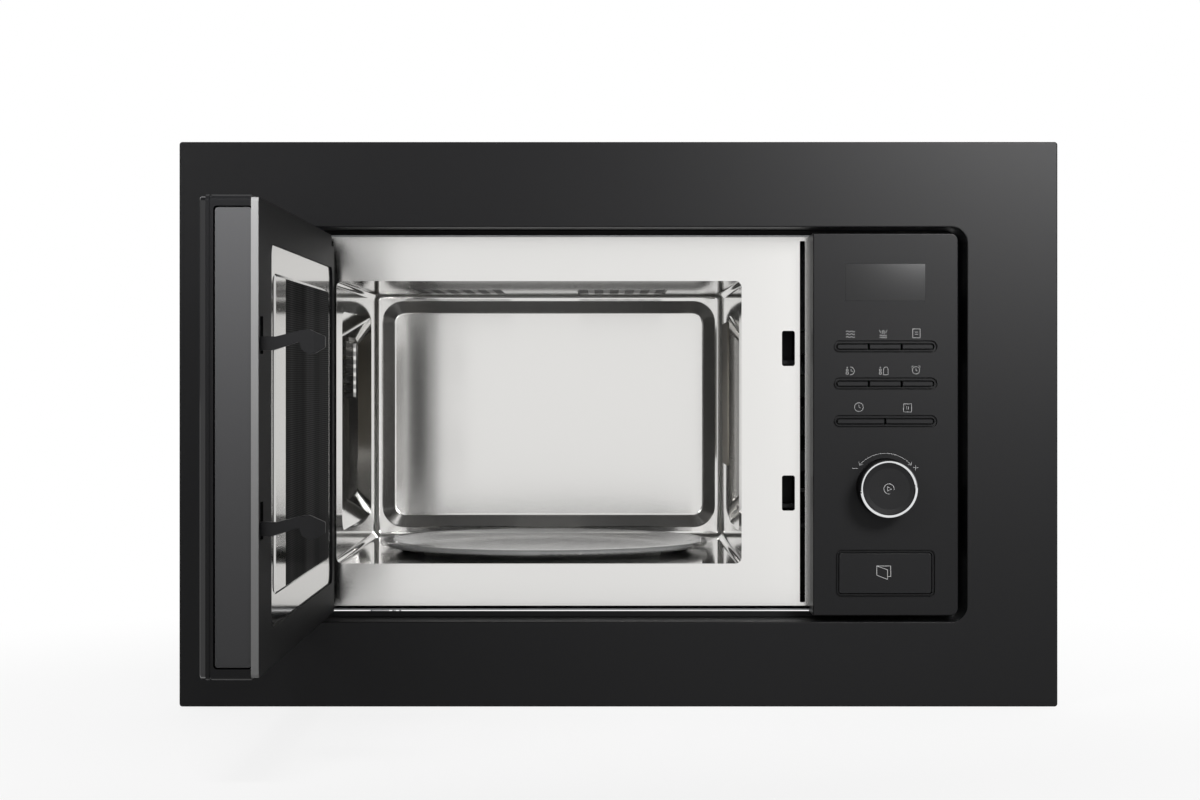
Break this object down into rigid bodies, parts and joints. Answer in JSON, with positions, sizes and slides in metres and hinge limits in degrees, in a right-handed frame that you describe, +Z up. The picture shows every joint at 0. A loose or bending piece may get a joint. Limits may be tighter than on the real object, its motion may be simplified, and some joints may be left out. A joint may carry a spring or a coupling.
{
  "type": "built-in microwave oven",
  "caption": "Built-in microwave oven in a black trim frame: side-hung door open on a steel cavity with a glass turntable, and a panel with push buttons, a dial and a door-release button.",
  "frame": {"origin": "middle of the bottom edge of the trim frame's front face, halfway between the open door's free edge and the back", "axes": "+X to the right seen from the front, +Y from the front to the back, +Z up"},
  "size_m": [0.594, 0.679, 0.382],
  "materials": {
    "black_coated_sheet": "satin",
    "galvanised_sheet": "dull",
    "stainless_sheet": "brushed",
    "zinc_steel": "plated",
    "foot_rubber": "matte",
    "black_gloss_plastic": "satin gloss",
    "button_plastic": "satin",
    "door_glass": "tinted",
    "door_plastic": "fine grain",
    "door_film": "gloss",
    "enamelled_steel": "enamel",
    "latch_plastic": "moulded",
    "bright_ring": "polished",
    "turntable_glass": "clear",
    "roller_plastic": "moulded",
    "mica_sheet": "flat",
    "display_lens": "gloss",
    "circuit_board": "lacquer",
    "black_plastic": "moulded",
    "magnetron_metal": "plain",
    "core_iron": "varnished",
    "quartz": "frosted"
  },
  "bodies": {
    "oven": {"trim_frame": "black_coated_sheet", "frame_brackets": "galvanised_sheet", "outer_casing": "galvanised_sheet", "rear_cover": "galvanised_sheet", "base_plate": "galvanised_sheet", "plinth_runners": "galvanised_sheet", "waveguide": "galvanised_sheet", "grill_reflector": "galvanised_sheet", "front_plate": "stainless_sheet", "cavity_liner": "stainless_sheet", "left_vent_screen": "stainless_sheet", "right_vent_screen": "stainless_sheet", "ceiling_screens": "stainless_sheet", "upper_hinge": "zinc_steel", "lower_hinge": "zinc_steel", "case_screws": "zinc_steel", "encoder_body": "zinc_steel", "foot_pads": "foot_rubber", "control_panel": "black_gloss_plastic", "interlock_bracket": "latch_plastic", "waveguide_cover": "mica_sheet", "display_window": "display_lens", "control_board": "circuit_board", "fan_duct": "black_plastic", "cord_gland": "black_plastic", "door_switches": "black_plastic", "magnetron": "magnetron_metal", "hv_capacitor": "magnetron_metal", "turntable_motor": "magnetron_metal", "hv_transformer": "core_iron", "fan_motor": "core_iron", "grill_elements": "quartz", "oven_lamp": "quartz"},
    "door": {"door_pane": "door_glass", "door_frame": "door_plastic", "choke_plate": "enamelled_steel", "inner_window": "door_film", "choke_cover": "door_plastic"},
    "latch": {"latch_bar": "latch_plastic", "latch_spring": "zinc_steel"},
    "turntable": {"glass_turntable": "turntable_glass", "drive_coupler": "roller_plastic"},
    "carrier": {"roller_ring": "roller_plastic"},
    "wheel_rear": {"roller_rear": "roller_plastic"},
    "wheel_left": {"roller_left": "roller_plastic"},
    "wheel_right": {"roller_right": "roller_plastic"},
    "fan": {"fan_blade": "black_plastic"},
    "dial": {"encoder_sleeve": "zinc_steel"},
    "dial_cap": {"knob": "button_plastic", "knob_ring": "bright_ring"},
    "opener": {"open_button": "button_plastic"},
    "lever": {"release_lever": "latch_plastic"},
    "key_microwave": {"button_microwave": "button_plastic"},
    "key_grill": {"button_grill": "button_plastic"},
    "key_menu": {"button_menu": "button_plastic"},
    "key_time_defrost": {"button_time_defrost": "button_plastic"},
    "key_weight_defrost": {"button_weight_defrost": "button_plastic"},
    "key_timer": {"button_timer": "button_plastic"},
    "key_clock": {"button_clock": "button_plastic"},
    "key_stop": {"button_stop": "button_plastic"}
  },
  "joints": [
    {"name": "door_swing", "type": "hinge", "parent": "oven", "child": "door", "pos_m": [-0.2172, 0.008, 0.191], "axis": [0, 0, 1], "range_deg": [0, 90]},
    {"name": "latch_lift", "type": "slide", "parent": "door", "child": "latch", "axis": [0, 0, 1], "range_m": [0, 0.005], "stiffness_N_per_m": 400, "deforming": ["latch_spring"]},
    {"name": "turntable_spin", "type": "hinge", "parent": "oven", "child": "turntable", "pos_m": [-0.0546, 0.17775, 0.0945], "axis": [0, 0, 1], "continuous": true},
    {"name": "carrier_spin", "type": "hinge", "parent": "oven", "child": "carrier", "pos_m": [-0.0546, 0.17775, 0.0862], "axis": [0, 0, 1], "continuous": true},
    {"name": "fan_spin", "type": "hinge", "parent": "oven", "child": "fan", "pos_m": [0.1807, 0.319, 0.125], "axis": [0, 1, 0], "continuous": true},
    {"name": "dial_turn", "type": "hinge", "parent": "oven", "child": "dial", "pos_m": [0.18045, 0, 0.1483], "axis": [0, 1, 0], "continuous": true},
    {"name": "dial_push", "type": "slide", "parent": "dial", "child": "dial_cap", "axis": [0, 1, 0], "range_m": [0, 0.0006], "stiffness_N_per_m": 1500},
    {"name": "open_push", "type": "slide", "parent": "oven", "child": "opener", "axis": [0, 1, 0], "range_m": [0, 0.005], "stiffness_N_per_m": 600},
    {"name": "lever_rock", "type": "hinge", "parent": "oven", "child": "lever", "pos_m": [0.12, 0.044, 0.12], "axis": [1, 0, 0], "range_deg": [0, 11]},
    {"name": "wheel_rear_spin", "type": "hinge", "parent": "carrier", "child": "wheel_rear", "pos_m": [-0.0546, 0.27375, 0.0862], "axis": [0, 1, 0], "continuous": true},
    {"name": "wheel_left_spin", "type": "hinge", "parent": "carrier", "child": "wheel_left", "pos_m": [-0.13774, 0.12975, 0.0862], "axis": [-0.866, -0.5, 0], "continuous": true},
    {"name": "wheel_right_spin", "type": "hinge", "parent": "carrier", "child": "wheel_right", "pos_m": [0.02854, 0.12975, 0.0862], "axis": [0.866, -0.5, 0], "continuous": true},
    {"name": "press_microwave", "type": "slide", "parent": "oven", "child": "key_microwave", "axis": [0, 1, 0], "range_m": [0, 0.0006], "stiffness_N_per_m": 1500},
    {"name": "press_grill", "type": "slide", "parent": "oven", "child": "key_grill", "axis": [0, 1, 0], "range_m": [0, 0.0006], "stiffness_N_per_m": 1500},
    {"name": "press_menu", "type": "slide", "parent": "oven", "child": "key_menu", "axis": [0, 1, 0], "range_m": [0, 0.0006], "stiffness_N_per_m": 1500},
    {"name": "press_time_defrost", "type": "slide", "parent": "oven", "child": "key_time_defrost", "axis": [0, 1, 0], "range_m": [0, 0.0006], "stiffness_N_per_m": 1500},
    {"name": "press_weight_defrost", "type": "slide", "parent": "oven", "child": "key_weight_defrost", "axis": [0, 1, 0], "range_m": [0, 0.0006], "stiffness_N_per_m": 1500},
    {"name": "press_timer", "type": "slide", "parent": "oven", "child": "key_timer", "axis": [0, 1, 0], "range_m": [0, 0.0006], "stiffness_N_per_m": 1500},
    {"name": "press_clock", "type": "slide", "parent": "oven", "child": "key_clock", "axis": [0, 1, 0], "range_m": [0, 0.0006], "stiffness_N_per_m": 1500},
    {"name": "press_stop", "type": "slide", "parent": "oven", "child": "key_stop", "axis": [0, 1, 0], "range_m": [0, 0.0006], "stiffness_N_per_m": 1500}
  ],
  "couplings": [
    {"joint": "carrier_spin", "follows": "turntable_spin", "ratio": 0.5},
    {"joint": "lever_rock", "follows": "open_push", "rad_per_m": 33.557},
    {"joint": "wheel_rear_spin", "follows": "turntable_spin", "ratio": -8},
    {"joint": "wheel_left_spin", "follows": "turntable_spin", "ratio": -8},
    {"joint": "wheel_right_spin", "follows": "turntable_spin", "ratio": -8}
  ]
}
